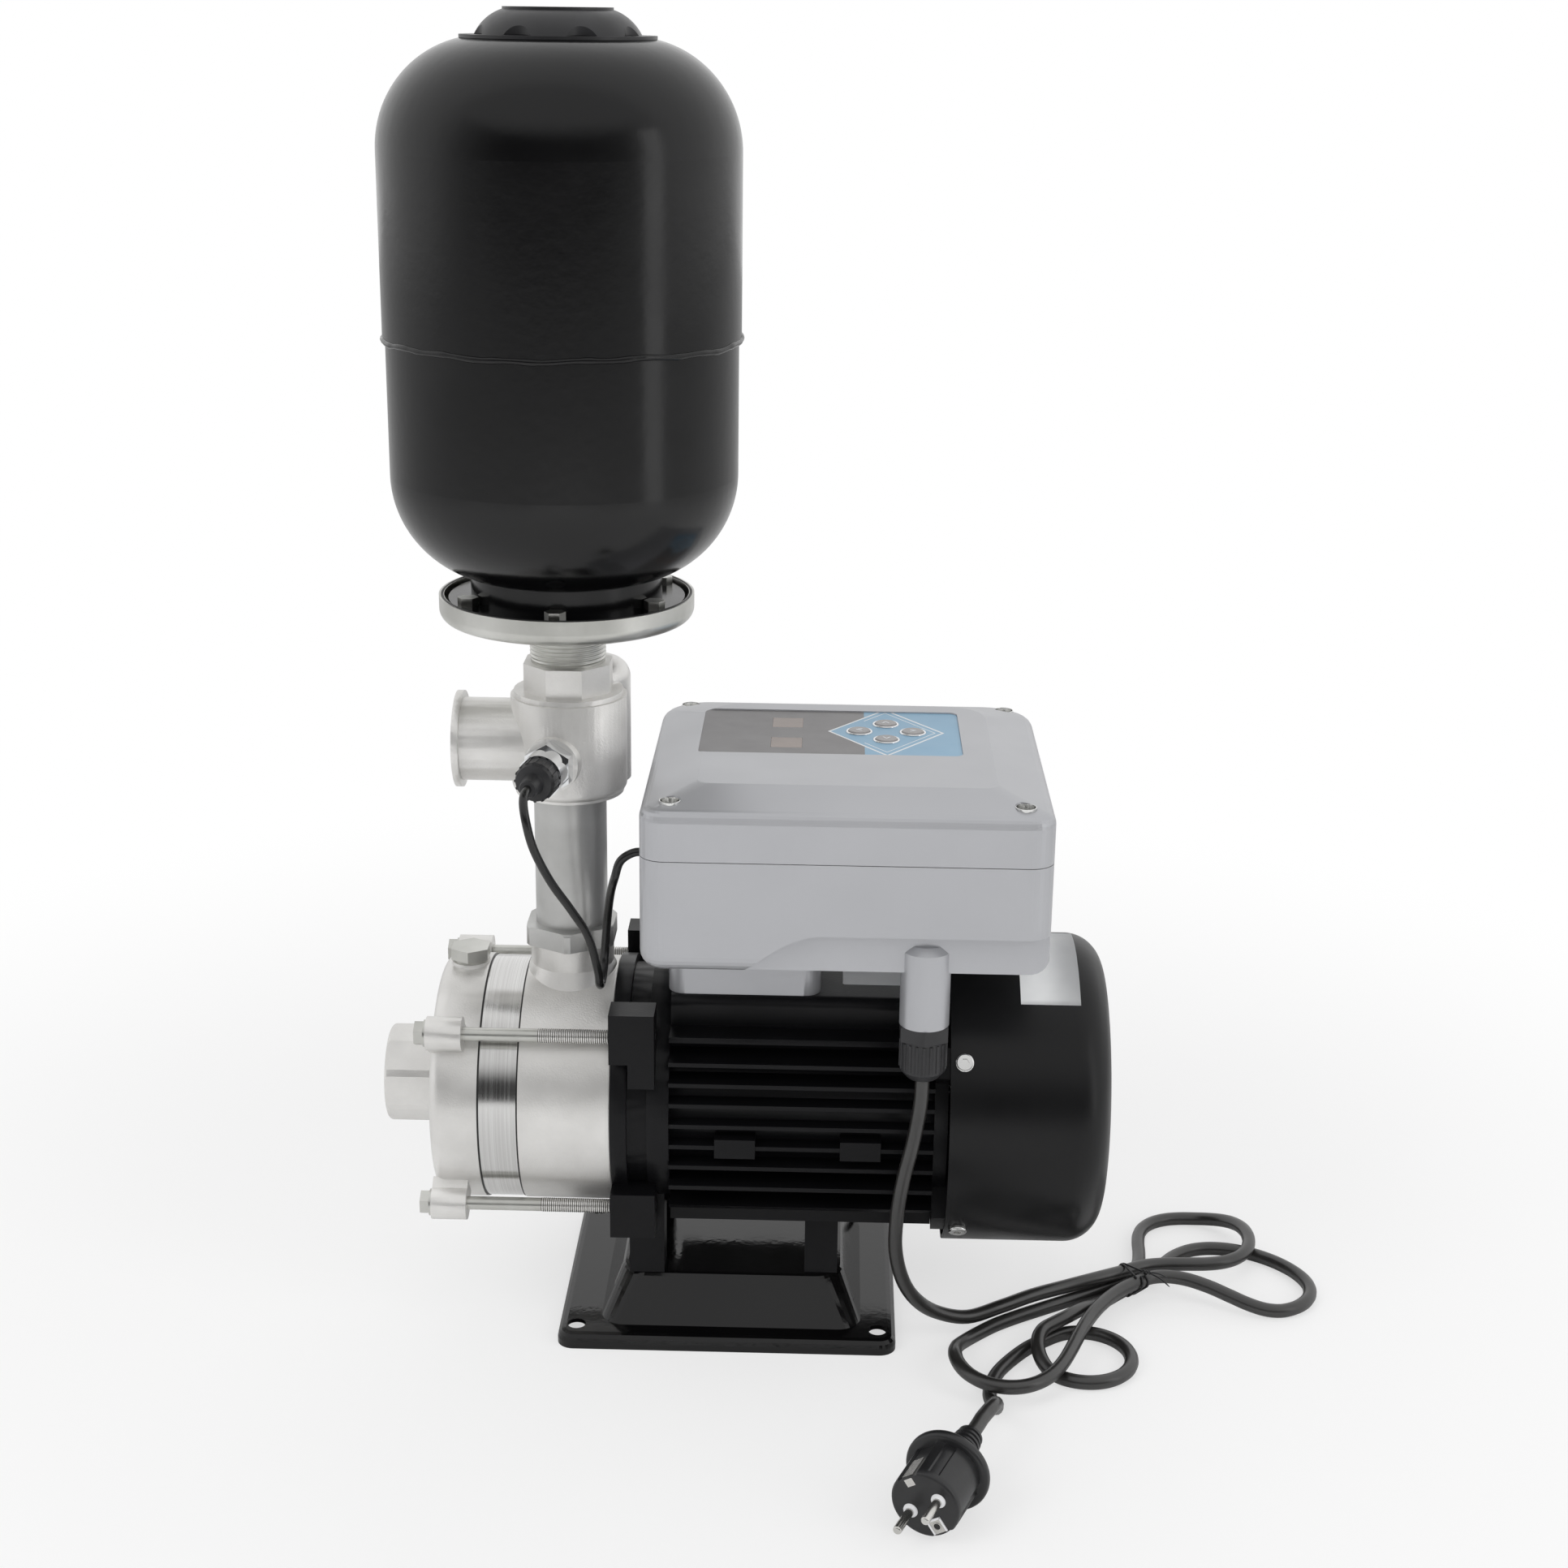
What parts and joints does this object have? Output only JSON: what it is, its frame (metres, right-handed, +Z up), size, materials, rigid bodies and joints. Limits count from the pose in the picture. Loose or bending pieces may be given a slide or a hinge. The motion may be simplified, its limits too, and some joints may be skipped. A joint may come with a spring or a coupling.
{
  "type": "garden pump",
  "caption": "Horizontal multistage garden pump on a pressed base, with a finned motor, a pressure tank on the riser and a speed controller on top.",
  "frame": {"origin": "on the floor, under the middle of the base plate", "axes": "+X along the shaft from the suction port to the fan, -Y towards the controller's buttons side and the mains cord, +Z up"},
  "size_m": [0.5792, 0.4024, 0.7676],
  "materials": {
    "black_base": "gloss black stoved paint",
    "black_casting": "satin black paint on cast aluminium",
    "black_cover": "satin black paint on pressed steel",
    "bright_screws": "bright zinc",
    "zinc": "zinc plated, satin",
    "stainless": "bead blasted stainless steel",
    "polished_stainless": "polished stainless steel",
    "shaft_steel": "ground steel",
    "lamination": "stacked sheet steel",
    "copper": "varnished copper wire",
    "bearing_steel": "polished steel",
    "ceramic": "carbon and ceramic seal faces",
    "fan_plastic": "matte moulded plastic",
    "stage_plastic": "filled plastic",
    "rubber": "matte black rubber",
    "valve_plastic": "natural acetal",
    "brass": "turned brass",
    "sensor_steel": "bright stainless",
    "tank_paint": "gloss black powder coat",
    "cap_plastic": "satin black plastic",
    "housing_paint": "silver grey fine texture paint",
    "panel_film": "pale grey film",
    "window": "dark smoked window",
    "button": "grey blue dome with bright ring",
    "board": "green solder mask",
    "gland_plastic": "black nylon",
    "cord": "black rubber sheath",
    "plug_plastic": "black moulded plastic",
    "pin_nickel": "nickel plated brass"
  },
  "bodies": {
    "pump_unit": {"base_plate": "black_base", "motor_bracket": "black_casting", "motor_frame": "black_casting", "rear_foot": "black_casting", "foot_bolts": "zinc", "end_shield": "black_casting", "fan_cover": "black_cover", "fan_cover_screws": "bright_screws", "stator_core": "lamination", "stator_windings": "copper", "drive_end_bearing": "bearing_steel", "fan_end_bearing": "bearing_steel", "seal_seat": "ceramic", "pump_casing": "stainless", "stage_sleeve": "polished_stainless", "casing_gaskets": "rubber", "suction_cover": "stainless", "diffuser_1": "stage_plastic", "diffuser_2": "stage_plastic", "priming_plug": "zinc", "tie_bolts": "zinc", "lock_nut": "stainless", "riser_pipe": "stainless", "check_valve_cage": "valve_plastic", "manifold": "stainless", "pressure_sensor": "sensor_steel", "sensor_cable": "rubber", "tank_flange": "zinc", "flange_bolts": "zinc", "tank_lower_shell": "tank_paint", "tank_upper_shell": "tank_paint", "tank_bladder": "rubber", "air_valve": "brass", "tank_cap": "cap_plastic", "controller_pad": "housing_paint", "controller_housing": "housing_paint", "controller_lid": "housing_paint", "lid_screws": "bright_screws", "circuit_board": "board", "control_panel": "panel_film", "display_windows": "window", "cable_gland": "gland_plastic", "mains_cord": "cord", "cord_loops": "cord", "cord_tail": "cord", "cord_tie": "gland_plastic", "plug_body": "plug_plastic", "plug_pins": "pin_nickel"},
    "rotor": {"motor_shaft": "shaft_steel", "rotor_core": "lamination", "cooling_fan": "fan_plastic", "impeller_1": "stainless", "impeller_2": "stainless", "impeller_nut": "shaft_steel", "seal_ring": "ceramic"},
    "check_valve": {"check_valve_poppet": "brass"},
    "up_button": {"button_up": "button"},
    "down_button": {"button_down": "button"},
    "left_button": {"button_left": "button"},
    "right_button": {"button_right": "button"}
  },
  "joints": [
    {"name": "shaft_spin", "type": "hinge", "parent": "pump_unit", "child": "rotor", "pos_m": [0, 0, 0.14], "axis": [1, 0, 0], "continuous": true},
    {"name": "valve_lift", "type": "slide", "parent": "pump_unit", "child": "check_valve", "axis": [0, 0, 1], "range_m": [0, 0.008], "stiffness_N_per_m": 20, "springref_m": -0.002},
    {"name": "up_button_press", "type": "slide", "parent": "pump_unit", "child": "up_button", "axis": [0, 0, -1], "range_m": [0, 0.0008], "stiffness_N_per_m": 500},
    {"name": "down_button_press", "type": "slide", "parent": "pump_unit", "child": "down_button", "axis": [0, 0, -1], "range_m": [0, 0.0008], "stiffness_N_per_m": 500},
    {"name": "left_button_press", "type": "slide", "parent": "pump_unit", "child": "left_button", "axis": [0, 0, -1], "range_m": [0, 0.0008], "stiffness_N_per_m": 500},
    {"name": "right_button_press", "type": "slide", "parent": "pump_unit", "child": "right_button", "axis": [0, 0, -1], "range_m": [0, 0.0008], "stiffness_N_per_m": 500}
  ]
}
